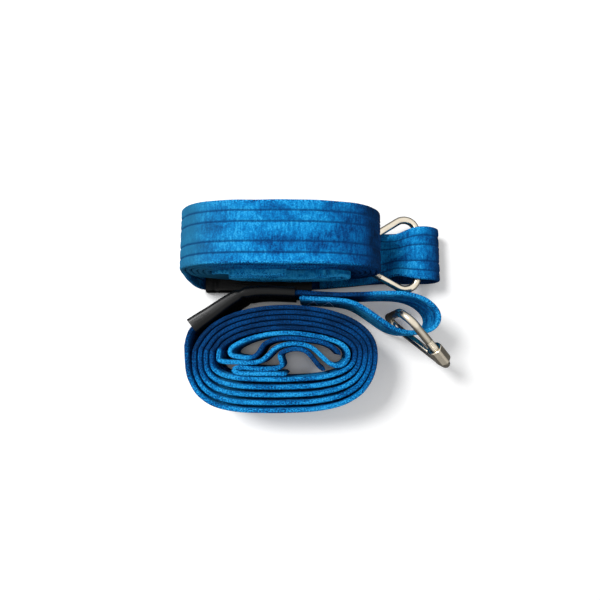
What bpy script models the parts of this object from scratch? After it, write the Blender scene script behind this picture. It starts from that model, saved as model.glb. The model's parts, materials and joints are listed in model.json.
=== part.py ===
"""A pair of rolled aerial straps, each with a rigging eye, a black sleeve and a delta screw link.

The front strap stands on its edge, so its turns are seen in plan. The rear strap lies on its broad
side, so its turns are seen from the front. Each strap is one long band whose route is drawn in a
plane, and the band's width stands square to that plane. Sizes are in millimetres, and become metres
where a mesh or a place is made.
"""

import math

import bmesh
import bpy
import numpy as np

MM = 0.001
CLEARANCE = 0.3

# The band is flat webbing inside a velvet tube.
BAND_WIDTH = 45.0
BAND_THICKNESS = 3.4
COVER_WALL = 0.7
END_INSET = 1.0
HALF_WIDTH = BAND_WIDTH / 2
HALF_THICKNESS = BAND_THICKNESS / 2
WEBBING_INSET = COVER_WALL + CLEARANCE

# The sleeve is a flat rubber tube round the band, next to the sewn eye.
SLEEVE_WALL = 1.5
SLEEVE_SLACK = 0.6
SLEEVE_HALF_DEPTH = 3.6
SLEEVE_MOUTH_FLARE = 0.8
SLEEVE_HALF_WIDTH = HALF_WIDTH + SLEEVE_WALL + SLEEVE_SLACK
SLEEVE_CORNER = 2.2
SLEEVE_CORNER_POINTS = 3

# The delta link is a bent rod with a gap that a long hexagon nut closes.
ROD_RADIUS = 3.1
LINK_HALF_WIDTH = 29.4
LINK_HALF_ANGLE = math.radians(31)
LINK_BASE_BEND = 10.0
LINK_APEX_BEND = 7.0
LINK_GAP = 8.0
NUT_LENGTH = 15.0
NUT_ACROSS_FLATS = 11.0
NUT_FROM_APEX_BEND = 9.0
DEGREES_A_BEND_POINT = 15

# A zigzag of thread holds the two plies of the rigging eye together.
THREAD_RADIUS = 0.4
STITCH_EDGE = 5.0
STITCH_PITCH = 6.0
STITCH_LEGS = 4

# A coil's route is an oval core grown evenly by its reach. The reach shrinks by the pitch each turn
# while the middle drifts. The belly is the slack of the outer turns on one side, and the pressed
# side is where the sleeve bears on them. Fullness is the squareness of the oval's quarters.
COIL_TURNS = 5
POINTS_A_TURN = 26
POINTS_A_SPAN = 2
CORE_FULLNESS = (2.0, 3.4, 2.7)
PRESSED_FACING = 146
PRESSED_SPREAD = 38

# The lengths over which the band moves sideways, beside the sleeve, after it and before the hand loop.
EYE_DRIFT = 60.0
COIL_DRIFT = 60.0
HAND_DRIFT = 45.0

# The routes of the hand loop and of its folded tail start from the coil's middle.
HAND_LOOP = [
    (-48.5, -5.1), (-44.0, -7.2), (-35.3, -7.5), (-25.3, -8.0), (-16.7, -6.7), (-11.2, -2.4),
    (-6.1, 2.6), (2.2, 5.8), (12.7, 6.2), (21.7, 3.6), (28.3, -1.8), (34.1, -7.2), (40.1, -10.2),
    (46.1, -8.9), (49.5, -3.9), (48.9, 1.8), (43.5, 6.7), (33.7, 10.3), (22.1, 12.8), (5.7, 14.6),
    (-11.3, 13.5), (-25.3, 10.2), (-34.8, 6.1), (-39.7, 2.0), (-38.9, -2.0), (-33.3, -3.4),
    (-26.5, -4.1), (-20.5, -2.6), (-17.1, 1.5), (-14.2, 5.9), (-7.3, 9.3), (2.7, 10.6), (15.7, 9.8),
    (28.7, 7.7), (37.7, 4.0), (43.7, -1.8),
]
HAND_TAIL = [
    (3.4, -16.4), (-9.3, -16.3), (-21.3, -16.1), (-29.3, -15.9), (-35.2, -14.9), (-36.9, -13.2),
    (-34.7, -11.6), (-28.3, -11.8), (-22.3, -12.2), (-14.3, -12.7), (-4.9, -12.2), (-0.3, -9.7),
    (-1.7, -4.8), (-1.5, -0.9), (4.7, 1.9), (12.7, 2.4), (18.9, -0.3), (23.7, -5.6), (27.7, -10.5),
    (32.1, -13.5),
]

# Front places are seen in plan, and rear places from the front, both as (right, up). The shifts
# move the band along its own width: level, in the sleeve, in the coil and in the hand loop. The rear
# strap's sleeve has its near edge just behind the front strap's sleeve, whatever the band's width.
FRONT = {
    "stand": {"location": (0.0, 0.0, HALF_WIDTH), "turn": 0.0},
    "coil": {"middle": (-20.7, -1.65), "core": (58.4, 23.75), "reach": 14.0, "pitch": 4.15,
             "drift": (0.25, 0.2), "belly": 7.0, "pressed": 2.9, "mirrored": False},
    "eye": [(-8.2, 39.7), (8.0, 38.6), (22.0, 37.6), (34.0, 34.8), (45.6, 27.8), (59.4, 18.0),
            (70.0, 13.8), (82.0, 13.4), (91.5, 15.6), (96.4, 22.0), (95.0, 29.8), (87.0, 37.4),
            (74.0, 41.8), (58.0, 42.6), (40.0, 42.0), (22.0, 41.9), (8.0, 42.7), (-8.2, 43.8)],
    "sleeve": [(-11.5, 44.2), (-26.0, 44.9), (-40.0, 44.8), (-51.8, 42.6), (-62.6, 36.4),
               (-75.6, 26.5), (-88.2, 16.9)],
    "turn_in": [(-91.6, 11.0), (-93.0, 4.6)],
    "shifts": {"eye": 7.3, "sleeve": SLEEVE_WALL + SLEEVE_SLACK, "hand": 0.0},
    "pinch": {"at": (84.0, 13.6), "spread": 14.0, "depth": 6.2},
    "stitch_side": -1,
    "link": {"base": (66.0, 27.5), "heading": -44.0, "shift": LINK_HALF_WIDTH + ROD_RADIUS - HALF_WIDTH},
}
REAR_SLEEVE_SHIFT = 6.5
REAR_SLEEVE_EDGE = 49.0
REAR = {
    "stand": {"location": (0.0, REAR_SLEEVE_EDGE + SLEEVE_HALF_WIDTH + REAR_SLEEVE_SHIFT, 0.15),
              "turn": math.pi / 2},
    "coil": {"middle": (-20.6, 46.8), "core": (60.7, 23.9), "reach": 14.0, "pitch": 4.1,
             "drift": (0.1, -0.1), "belly": 3.0, "pressed": 0.0, "mirrored": True},
    "eye": [(8.0, 6.2), (18.0, 5.7), (32.0, 5.6), (46.0, 5.6), (56.0, 6.5), (64.0, 9.5),
            (72.0, 17.2), (80.5, 23.9), (90.0, 26.6), (99.0, 24.6), (106.0, 18.4), (107.4, 10.4),
            (103.0, 4.0), (94.0, 1.7), (78.0, 1.7), (60.0, 1.7), (40.0, 1.7), (20.0, 1.8), (8.0, 2.6)],
    "sleeve": [(1.5, 3.6), (-10.0, 3.7), (-30.0, 3.8), (-50.0, 4.0), (-70.0, 4.2), (-89.0, 4.6)],
    "turn_in": [(-93.4, 8.6), (-95.6, 17.6), (-95.9, 31.0)],
    "shifts": {"eye": 1.0, "sleeve": REAR_SLEEVE_SHIFT, "hand": 4.0},
    "pinch": {"at": (70.0, 15.5), "spread": 13.0, "depth": 4.6},
    "stitch_side": 1,
    "link": {"base": (88.5, 20.5), "heading": 185.4, "shift": 1.0},
}

COLOURS = {
    "webbing": ((0.62, 0.60, 0.55), 0.9, 0.0),
    "velvet": ((0.01, 0.19, 0.47), 0.85, 0.0),
    "rubber": ((0.015, 0.015, 0.017), 0.45, 0.0),
    "thread": ((0.02, 0.24, 0.55), 0.7, 0.0),
    "steel": ((0.72, 0.70, 0.66), 0.22, 1.0),
}


def clear_scene():
    """Removes whatever the scene holds."""
    for old in list(bpy.data.objects):
        bpy.data.objects.remove(old)


def material(kind):
    """The named material, made once."""
    made = bpy.data.materials.get(kind)
    if made:
        return made
    colour, roughness, metallic = COLOURS[kind]
    made = bpy.data.materials.new(kind)
    made.use_nodes = True
    shader = made.node_tree.nodes["Principled BSDF"]
    shader.inputs["Base Color"].default_value = (*colour, 1.0)
    shader.inputs["Roughness"].default_value = roughness
    shader.inputs["Metallic"].default_value = metallic
    return made


def add_object(name, data, kind, group, parent):
    made = bpy.data.objects.new(name, data)
    made.data.materials.append(material(kind))
    made.parent = parent
    group.objects.link(made)
    return made


def smooth_route(points):
    """Points on a smooth curve through the given ones, with Catmull-Rom spans."""
    given = np.array(points, float)
    given = np.vstack([2 * given[0] - given[1], given, 2 * given[-1] - given[-2]])
    made = []
    for before, start, end, after in zip(given, given[1:], given[2:], given[3:]):
        for t in np.arange(POINTS_A_SPAN) / POINTS_A_SPAN:
            bend = 2 * before - 5 * start + 4 * end - after + t * (3 * (start - end) + after - before)
            made.append(start + 0.5 * t * (end - before + t * bend))
    return np.array([*made, given[-2]])


def distance_along(route):
    steps = np.linalg.norm(np.diff(route, axis=0), axis=1)
    return np.concatenate([[0.0], np.cumsum(steps)])


def oval(core, facing, reach):
    """Points of a squared oval whose outward direction is facing, grown outwards by reach."""
    length, height = core
    c, s = np.cos(facing), np.sin(facing)
    full = np.where(s > 0, CORE_FULLNESS[0], np.where(c < 0, CORE_FULLNESS[1], CORE_FULLNESS[2]))
    along, across = length * np.abs(c), height * np.abs(s)
    dual = full / (full - 1)
    size = (along**dual + across**dual) ** (1 / dual)
    x = np.sign(c) * length * (along / size) ** (1 / (full - 1)) + reach * c
    y = np.sign(s) * height * (across / size) ** (1 / (full - 1)) + reach * s
    return np.stack([x, y], axis=-1)


def coil_route(coil):
    """The coil's turns from the outside in, with the same directions in every turn."""
    fine = np.linspace(-math.pi, math.pi, 2001)
    middle_turn = oval(coil["core"], fine, coil["reach"] - coil["pitch"] * COIL_TURNS / 2)
    far = distance_along(middle_turn)
    share = (far / far[-1] + (fine + math.pi) / (2 * math.pi)) / 2
    one_turn = np.interp(np.arange(POINTS_A_TURN) / POINTS_A_TURN, share, fine)
    facing = np.tile(one_turn, COIL_TURNS)
    turns = np.arange(len(facing)) / POINTS_A_TURN
    slack = coil["belly"] * (1 - turns / COIL_TURNS) * np.clip(-np.sin(facing), 0, 1) ** 3
    away = (np.degrees(facing) - PRESSED_FACING + 180) % 360 - 180
    pressed = coil["pressed"] * np.exp(-((away / PRESSED_SPREAD) ** 2)) * (turns > 0.5)
    route = oval(coil["core"], facing, coil["reach"] - coil["pitch"] * turns + slack - pressed)
    return from_coil_middle(coil, route) + turns[:, None] * np.array(coil["drift"])


def from_coil_middle(coil, points):
    """Points given from the coil's middle, in the strap's plane."""
    upwards = -1 if coil["mirrored"] else 1
    return np.array(points, float) * (1, upwards) + np.array(coil["middle"])


def strap_route(strap):
    """The whole band's route from the eye's sewn end to the hand loop, and its landmark points."""
    coil = coil_route(strap["coil"])
    lead = smooth_route([*strap["eye"], *strap["sleeve"], *strap["turn_in"], *coil[:2]])
    lead = lead[: -2 * POINTS_A_SPAN + 1]
    inner = from_coil_middle(strap["coil"], HAND_LOOP)
    hand = smooth_route([*coil[-2:], *inner])[2 * POINTS_A_SPAN :]
    route = np.vstack([lead, coil[1:], hand])
    sleeve_start = len(strap["eye"]) * POINTS_A_SPAN
    sleeve_end = sleeve_start + (len(strap["sleeve"]) - 1) * POINTS_A_SPAN
    coil_end = len(lead) + len(coil) - 2
    return route, {"sleeve_start": sleeve_start, "sleeve_end": sleeve_end, "coil_end": coil_end}


def band_shifts(strap, route, marks):
    """How far each point of the band is moved along the band's width."""
    far = distance_along(route)
    eye, sleeve, hand = (strap["shifts"][part] for part in ("eye", "sleeve", "hand"))
    sleeve_start, sleeve_end, coil_end = (marks[name] for name in ("sleeve_start", "sleeve_end", "coil_end"))
    mouth = route[sleeve_start, 0]
    beside = np.interp(route[:sleeve_start, 0], [mouth, mouth + EYE_DRIFT], [sleeve, eye])
    places = [far[sleeve_end], far[sleeve_end] + COIL_DRIFT, far[coil_end], far[coil_end] + HAND_DRIFT]
    return np.concatenate([beside, np.interp(far[sleeve_start:], places, [sleeve, 0, 0, hand])])


def band_half_widths(strap, route):
    """Half the band's width at each point, less where it is bunched inside the link."""
    far = distance_along(route)
    pinch = strap["pinch"]
    eye_points = (len(strap["eye"]) - 1) * POINTS_A_SPAN
    nearest = np.linalg.norm(route[:eye_points] - pinch["at"], axis=1).argmin()
    away = (far - far[nearest]) / pinch["spread"]
    return HALF_WIDTH - pinch["depth"] * np.exp(-(away**2))


def sections_along(route, profiles, shifts):
    """Closed sections carried along a route, mitred at its bends: a row of points for each place."""
    steps = np.diff(route, axis=0)
    steps /= np.linalg.norm(steps, axis=1)[:, None]
    before, after = np.vstack([steps[:1], steps]), np.vstack([steps, steps[-1:]])
    both = before + after
    mitre = 2 * np.stack([-both[:, 1], both[:, 0]], axis=1) / (both**2).sum(axis=1)[:, None]
    profiles = np.array(profiles)
    flat = route[:, None] + profiles[:, :, :1] * mitre[:, None]
    width = profiles[:, :, 1:] + np.asarray(shifts)[:, None, None]
    return np.concatenate([flat, width], axis=2)


def loft(name, outer, inner=None):
    """A closed mesh over rows of closed sections: a tube with open ends, or solid without inner rows."""
    count, sides = outer.shape[:2]
    size = count * sides
    around = [(k, (k + 1) % sides) for k in range(sides)]
    faces = [(i + k, i + sides + k, i + sides + after, i + after)
             for i in range(0, size - sides, sides) for k, after in around]
    last = size - sides
    if inner is None:
        spots = outer
        faces += [tuple(range(sides)), tuple(range(size - 1, last - 1, -1))]
    else:
        spots = np.concatenate([outer, inner])
        faces += [tuple(size + corner for corner in reversed(face)) for face in faces]
        faces += [(k, after, size + after, size + k) for k, after in around]
        faces += [(last + after, last + k, size + last + k, size + last + after) for k, after in around]
    mesh = bpy.data.meshes.new(name)
    mesh.from_pydata((spots.reshape(-1, 3) * MM).tolist(), [], faces)
    return mesh


def box_profile(half_thickness, half_width):
    return [(half_thickness, half_width), (half_thickness, -half_width),
            (-half_thickness, -half_width), (-half_thickness, half_width)]


def trimmed(route, values, inset):
    """The route and its values without the inset length at both ends."""
    far = distance_along(route)
    keep = (far > inset + 0.1) & (far < far[-1] - inset - 0.1)
    places = np.concatenate([[inset], far[keep], [far[-1] - inset]])
    ends = [np.interp(places, far, column) for column in route.T]
    return np.stack(ends, axis=1), [np.interp(places, far, v) for v in values]


def add_band(prefix, route, half_widths, shifts, group, parent):
    """Webbing inside its velvet tube, as two objects."""
    outer, inner = (
        sections_along(route, [box_profile(HALF_THICKNESS - inset, half - inset) for half in half_widths],
                       shifts)
        for inset in (0.0, COVER_WALL)
    )
    add_object(prefix + "_velvet_cover", loft(prefix, outer, inner), "velvet", group, parent)

    short, (widths, heights) = trimmed(route, [half_widths, shifts], END_INSET)
    profiles = [box_profile(HALF_THICKNESS - WEBBING_INSET, half - WEBBING_INSET) for half in widths]
    webbing = loft(prefix, sections_along(short, profiles, heights))
    add_object(prefix + "_webbing", webbing, "webbing", group, parent)


def sleeve_profile(half_depth, inset):
    """A flat oblong with rounded corners, in the order of the band's own section."""
    corner = SLEEVE_CORNER - inset
    made = []
    for depth_sign, width_sign, first in ((1, 1, 90), (1, -1, 0), (-1, -1, -90), (-1, 1, -180)):
        for k in range(SLEEVE_CORNER_POINTS):
            turn = math.radians(first - 90 * k / (SLEEVE_CORNER_POINTS - 1))
            made.append((depth_sign * (half_depth - SLEEVE_CORNER) + corner * math.cos(turn),
                         width_sign * (SLEEVE_HALF_WIDTH - SLEEVE_CORNER) + corner * math.sin(turn)))
    return made


def add_sleeve(prefix, strap, route, group, parent):
    far = distance_along(route)
    depths = SLEEVE_HALF_DEPTH + SLEEVE_MOUTH_FLARE * (far / far[-1]) ** 2
    shifts = np.full(len(route), strap["shifts"]["sleeve"])
    outer, inner = (
        sections_along(route, [sleeve_profile(depth, inset) for depth in depths], shifts)
        for inset in (0.0, SLEEVE_WALL)
    )
    sleeve = add_object(prefix + "_sleeve", loft(prefix + "_sleeve", outer, inner), "rubber", group, parent)
    sleeve.data.shade_smooth()
    sleeve.data.set_sharp_from_angle(angle=math.radians(40))


def add_rod(name, points, radius, kind, group, parent):
    """A round rod or thread along points, with filled ends."""
    curve = bpy.data.curves.new(name, "CURVE")
    curve.dimensions = "3D"
    curve.bevel_depth = radius * MM
    curve.bevel_resolution = 2
    curve.use_fill_caps = True
    spline = curve.splines.new("POLY")
    spline.points.add(len(points) - 1)
    for spot, place in zip(spline.points, points):
        spot.co = (*(value * MM for value in place), 1.0)
    return add_object(name, curve, kind, group, parent)


def add_stitching(prefix, side, route, shifts, group, parent):
    """One zigzag thread on the outer face of the eye's sewn end ply."""
    count = math.ceil((STITCH_EDGE + STITCH_PITCH * STITCH_LEGS) / distance_along(route)[1]) + 1
    ply, ply_shifts = route[:count], shifts[:count]
    ahead = np.gradient(ply, axis=0)
    ahead /= np.linalg.norm(ahead, axis=1)[:, None]
    lift = side * (HALF_THICKNESS + CLEARANCE + THREAD_RADIUS)
    face = ply + lift * np.stack([-ahead[:, 1], ahead[:, 0]], axis=1)
    far = distance_along(ply)

    steps = np.arange(0, STITCH_LEGS + 0.5, 0.5)
    places = STITCH_EDGE + STITCH_PITCH * steps
    swing = HALF_WIDTH - STITCH_EDGE
    turns = np.arange(STITCH_LEGS + 1)
    width = np.interp(steps, turns, swing * (-1.0) ** (turns + 1))
    columns = [np.interp(places, far, values) for values in (face[:, 0], face[:, 1], ply_shifts)]
    columns[2] += width
    add_rod(prefix + "_eye_stitching", np.column_stack(columns), THREAD_RADIUS, "thread", group, parent)


def bend_points(middle, radius, first, last):
    """Points on an arc of the link, in its own plane, from one angle to another."""
    count = math.ceil(abs(last - first) / DEGREES_A_BEND_POINT)
    turns = [math.radians(first + (last - first) * k / count) for k in range(count + 1)]
    return [(middle[0] + radius * math.cos(t), 0.0, middle[1] + radius * math.sin(t)) for t in turns]


def add_link(prefix, strap, group, cutters, strap_stand):
    """The delta link and its nut, on the axis where the link turns in the eye."""
    hinge = bpy.data.objects.new(prefix + "_link_axis", None)
    hinge.parent = strap_stand
    hinge.location = (strap["link"]["base"][0] * MM, strap["link"]["base"][1] * MM,
                      strap["link"]["shift"] * MM)
    hinge.rotation_euler = (0, 0, math.radians(strap["link"]["heading"]))
    group.objects.link(hinge)

    slope = math.degrees(LINK_HALF_ANGLE)
    side_facing = 90 - slope
    corner_z = LINK_HALF_WIDTH - LINK_BASE_BEND
    tip_z = corner_z + LINK_BASE_BEND / math.tan(math.radians(side_facing / 2))
    apex_x = tip_z / math.tan(LINK_HALF_ANGLE) - LINK_APEX_BEND / math.sin(LINK_HALF_ANGLE)
    side_start = bend_points((apex_x, 0), LINK_APEX_BEND, side_facing, side_facing + 1)[0]
    back = (-math.cos(LINK_HALF_ANGLE), 0.0, math.sin(LINK_HALF_ANGLE))

    def on_side(distance):
        return tuple(start + step * distance for start, step in zip(side_start, back))

    points = [on_side(NUT_FROM_APEX_BEND - LINK_GAP / 2)]
    points += bend_points((apex_x, 0), LINK_APEX_BEND, side_facing, -side_facing)
    points += bend_points((LINK_BASE_BEND, -corner_z), LINK_BASE_BEND, -side_facing, -180)
    points += bend_points((LINK_BASE_BEND, corner_z), LINK_BASE_BEND, 180, side_facing)
    points.append(on_side(NUT_FROM_APEX_BEND + LINK_GAP / 2))
    add_rod(prefix + "_link_body", points, ROD_RADIUS, "steel", group, hinge)

    place = [value * MM for value in on_side(NUT_FROM_APEX_BEND)]
    tilt = (0, math.atan2(back[0], back[2]), 0)
    nut = add_prism(prefix + "_link_nut", 6, NUT_ACROSS_FLATS / 2 / math.cos(math.pi / 6), NUT_LENGTH, group)
    bore = add_prism(prefix + "_nut_bore", 16, ROD_RADIUS + CLEARANCE, NUT_LENGTH * 2, cutters)
    for made in (nut, bore):
        made.parent = hinge
        made.location = place
        made.rotation_euler = tilt
    bore.hide_render = True
    bore.display_type = "WIRE"
    cut = nut.modifiers.new("bore", "BOOLEAN")
    cut.object = bore
    cut.solver = "EXACT"


def add_prism(name, sides, radius, length, group):
    mesh = bpy.data.meshes.new(name)
    shape = bmesh.new()
    bmesh.ops.create_cone(shape, cap_ends=True, segments=sides, radius1=radius * MM,
                          radius2=radius * MM, depth=length * MM)
    shape.to_mesh(mesh)
    shape.free()
    made = bpy.data.objects.new(name, mesh)
    made.data.materials.append(material("steel"))
    group.objects.link(made)
    return made


def add_strap(prefix, strap, group, cutters, middle):
    stand = bpy.data.objects.new(prefix + "_stand", None)
    stand.parent = middle
    stand.location = [value * MM for value in strap["stand"]["location"]]
    stand.rotation_euler = (strap["stand"]["turn"], 0, 0)
    group.objects.link(stand)

    route, marks = strap_route(strap)
    shifts = band_shifts(strap, route, marks)
    add_band(prefix + "_strap", route, band_half_widths(strap, route), shifts, group, stand)

    tail = from_coil_middle(strap["coil"], smooth_route(HAND_TAIL))
    full = np.full(len(tail), HALF_WIDTH)
    tail_shifts = np.full(len(tail), strap["shifts"]["hand"])
    add_band(prefix + "_tail", tail, full, tail_shifts, group, stand)

    add_sleeve(prefix, strap, route[marks["sleeve_start"] : marks["sleeve_end"] + 1], group, stand)
    add_stitching(prefix, strap["stitch_side"], route, shifts, group, stand)
    add_link(prefix, strap, group, cutters, stand)


def centre_on_floor(group, middle):
    """Moves everything so that the middle of the pair's footprint is the origin."""
    bpy.context.view_layer.update()
    needed = bpy.context.evaluated_depsgraph_get()
    corners = [made.evaluated_get(needed).matrix_world @ spot
               for made in group.objects if made.type != "EMPTY"
               for spot in (vertex.co for vertex in made.evaluated_get(needed).to_mesh().vertices)]
    corners = np.array(corners)
    low, high = corners.min(axis=0), corners.max(axis=0)
    middle.location = (-(low[0] + high[0]) / 2, -(low[1] + high[1]) / 2, -low[2])


clear_scene()
pair = bpy.data.collections.new("aerial_straps")
tools = bpy.data.collections.new("cutters")
for collection in (pair, tools):
    bpy.context.scene.collection.children.link(collection)
pair_middle = bpy.data.objects.new("pair_middle", None)
pair.objects.link(pair_middle)
add_strap("front", FRONT, pair, tools, pair_middle)
add_strap("rear", REAR, pair, tools, pair_middle)
centre_on_floor(pair, pair_middle)
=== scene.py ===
"""A pair of rolled aerial straps on a white studio floor.

The solids give the frame, and each strap's band, sleeve, thread and link are drawn again with
their real surface. Lengths are in millimetres, and become metres where a mesh is made.
"""

import json
import math

import bpy
import numpy as np
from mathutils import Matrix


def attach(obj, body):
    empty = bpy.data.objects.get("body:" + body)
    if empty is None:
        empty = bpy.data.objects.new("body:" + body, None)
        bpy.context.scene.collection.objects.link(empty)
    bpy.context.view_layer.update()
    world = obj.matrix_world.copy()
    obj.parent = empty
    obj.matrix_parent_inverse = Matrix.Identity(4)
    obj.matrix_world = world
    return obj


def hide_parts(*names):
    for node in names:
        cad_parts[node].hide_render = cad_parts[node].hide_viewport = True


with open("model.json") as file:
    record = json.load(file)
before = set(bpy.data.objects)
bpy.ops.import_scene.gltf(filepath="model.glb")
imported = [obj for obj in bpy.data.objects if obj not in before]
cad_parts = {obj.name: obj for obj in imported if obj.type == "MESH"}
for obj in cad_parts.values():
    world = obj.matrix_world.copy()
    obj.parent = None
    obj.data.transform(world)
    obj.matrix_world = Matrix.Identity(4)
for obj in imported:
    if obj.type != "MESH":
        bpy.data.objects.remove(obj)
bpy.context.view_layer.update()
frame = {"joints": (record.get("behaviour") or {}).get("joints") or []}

# The camera is held 370 mm above the floor and leans a little towards the back of the pair. It
# stands over the front strap's own zero point, from which all that strap's places are measured. The
# front link's hinge gives that point, because its place is known in both ways.
MM = 0.001
PICTURE_PIXELS = 600
FOCAL_PIXELS = 428
LEAN_PIXELS = 50
PAN_PIXELS = 10
SENSOR_WIDTH = 36.0
CAMERA_HEIGHT = 370.0
FRONT_HINGE = (66.0, 27.5, 10.0)

joints = {joint["name"]: joint for joint in frame["joints"]}
front_zero = np.array(joints["front_link_swing"]["pos_m"]) / MM - FRONT_HINGE
camera_data = bpy.data.cameras.new("camera")
camera_data.sensor_width = SENSOR_WIDTH
camera_data.lens = SENSOR_WIDTH * FOCAL_PIXELS / PICTURE_PIXELS
camera_data.shift_x = -PAN_PIXELS / PICTURE_PIXELS
camera = bpy.data.objects.new("camera", camera_data)
camera.location = (front_zero[0] * MM, front_zero[1] * MM, CAMERA_HEIGHT * MM)
camera.rotation_euler = (math.atan(LEAN_PIXELS / FOCAL_PIXELS), 0, 0)
bpy.context.collection.objects.link(camera)
bpy.context.scene.camera = camera


# The floor is a sheet of matt white paper under a pale sky and one soft lamp, high at the back left.
# It glows a little for the camera, so that it reads white and still keeps the shadow, and the pieces
# see it only as a grey table. The floor and the lamp are measured in metres.
FLOOR_SIDE = 3.0
FLOOR_COLOUR = "FAFAFA"
FLOOR_BOUNCE_COLOUR = "666666"
FLOOR_ROUGHNESS = 0.9
FLOOR_GLOW = 0.16
GAP_REACH = 7.0
GAP_SAMPLES = 16
WHITE = (1, 1, 1, 1)
SKY_LEVEL = 0.5
MIRRORED_LEVELS = (0.42, 1.2)
MIRRORED_HEIGHT = 0.7
LAMP_PLACE = (-0.7, 0.42, 1.15)
LAMP_SIDE = 0.4
LAMP_LEVEL = 0.78


def linear(colour):
    """An sRGB hex colour in linear light: the straight part below 0.04045, else the 2.4 power."""
    channels = np.array([int(colour[k : k + 2], 16) for k in (0, 2, 4)]) / 255
    curved = ((channels + 0.055) / 1.055) ** 2.4
    return (*np.where(channels <= 0.04045, channels / 12.92, curved).tolist(), 1.0)


def node(tree, kind, inputs=None, **settings):
    """Adds a node with its settings. Its inputs are values, or the sockets that feed them."""
    made = tree.nodes.new(kind)
    for name, value in settings.items():
        setattr(made, name, value)
    for name, value in (inputs or {}).items():
        if isinstance(value, bpy.types.NodeSocket):
            tree.links.new(value, made.inputs[name])
        else:
            made.inputs[name].default_value = value
    return made


def new_material(name):
    """A material with its node tree and its Principled shader."""
    made = bpy.data.materials.new(name)
    made.use_nodes = True
    return made, made.node_tree, made.node_tree.nodes["Principled BSDF"]


paper, tree, shader = new_material("matt_white_paper")
shader.inputs["Roughness"].default_value = FLOOR_ROUGHNESS
shader.inputs["Specular IOR Level"].default_value = 0.0
ray = node(tree, "ShaderNodeLightPath")
seen = node(tree, "ShaderNodeMath", {0: ray.outputs["Is Camera Ray"],
                                     1: ray.outputs["Is Transmission Ray"]}, operation="MAXIMUM")
colour = node(tree, "ShaderNodeMix", {0: seen.outputs[0], 6: linear(FLOOR_BOUNCE_COLOUR),
                                      7: linear(FLOOR_COLOUR)}, data_type="RGBA").outputs[2]
tree.links.new(colour, shader.inputs["Base Color"])
# The glow fades where something stands nearer than 7 mm, which paints shade into narrow gaps so that they
# keep their depth.
openness = node(tree, "ShaderNodeAmbientOcclusion", {"Distance": GAP_REACH * MM},
                samples=GAP_SAMPLES).outputs["AO"]
open_glow = node(tree, "ShaderNodeMath", {0: openness, 1: FLOOR_GLOW}, operation="MULTIPLY").outputs[0]
glow = node(tree, "ShaderNodeMath", {0: seen.outputs[0], 1: open_glow}, operation="MULTIPLY")
shader.inputs["Emission Color"].default_value = WHITE
tree.links.new(glow.outputs[0], shader.inputs["Emission Strength"])

floor_mesh = bpy.data.meshes.new("floor")
half = FLOOR_SIDE / 2
floor_mesh.from_pydata([(-half, -half, 0), (half, -half, 0), (half, half, 0), (-half, half, 0)], [],
                       [(0, 1, 2, 3)])
floor_mesh.materials.append(paper)
floor = bpy.data.objects.new("floor", floor_mesh)
bpy.context.collection.objects.link(floor)

# The sky lights the pair evenly. What the steel mirrors of it is brighter overhead than at the horizon.
sky = bpy.data.worlds.new("pale_sky")
sky.use_nodes = True
bpy.context.scene.world = sky
tree = sky.node_tree
background = tree.nodes["Background"]
ray = node(tree, "ShaderNodeLightPath")
seen = node(tree, "ShaderNodeMath", {0: ray.outputs["Is Camera Ray"],
                                     1: ray.outputs["Is Transmission Ray"]}, operation="MAXIMUM")
upwards = node(tree, "ShaderNodeSeparateXYZ", {0: node(tree, "ShaderNodeTexCoord").outputs["Generated"]})
low_level, high_level = MIRRORED_LEVELS
mirrored = node(tree, "ShaderNodeMapRange", {"Value": upwards.outputs["Z"], "From Min": 0.0,
                                              "From Max": MIRRORED_HEIGHT, "To Min": low_level,
                                              "To Max": high_level}, interpolation_type="SMOOTHSTEP")
lit = node(tree, "ShaderNodeMix", {0: ray.outputs["Is Glossy Ray"], 2: SKY_LEVEL,
                                   3: mirrored.outputs["Result"]}, data_type="FLOAT")
level = node(tree, "ShaderNodeMix", {0: seen.outputs[0], 2: lit.outputs[0], 3: 1.0}, data_type="FLOAT")
tree.links.new(level.outputs[0], background.inputs["Strength"])
background.inputs["Color"].default_value = WHITE

lamp_data = bpy.data.lights.new("soft_lamp", "AREA")
lamp_data.shape = "SQUARE"
lamp_data.size = LAMP_SIDE
lamp_distance = float(np.linalg.norm(LAMP_PLACE))
lamp_data.energy = LAMP_LEVEL * math.pi**2 * lamp_distance**2
lamp = bpy.data.objects.new("soft_lamp", lamp_data)
lamp.location = LAMP_PLACE
x, y, z = LAMP_PLACE
lamp.rotation_euler = (0, math.acos(z / lamp_distance), math.atan2(y, x))
bpy.context.collection.objects.link(lamp)
bpy.context.scene.view_settings.view_transform = "Standard"


# A strap is one flat band 45 mm wide. It starts as the sewn eye, runs through the sleeve, is rolled up
# five turns, and ends as the hand loop, whose folded tail lies inside the coil. Each strap is drawn in
# the plane that it is rolled in, as (right, up), and its width stands square to that plane.
HALF_WIDTH = 22.5
REAR_HINGE = (88.5, 20.5, 1.0)
COIL_TURNS = 5
POINTS_A_TURN = 26
POINTS_A_SPAN = 2
OVAL_STEPS = 2000
CORE_FULLNESS = (2.0, 3.4, 2.7)
PRESSED_FACING = 146
PRESSED_SPREAD = 38
EYE_DRIFT = 60.0
COIL_DRIFT = 60.0
HAND_DRIFT = 45.0
# Painted shade on the hand loop's inner end and on the tail's far part.
LOOP_END_SHADE = 0.75
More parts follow.
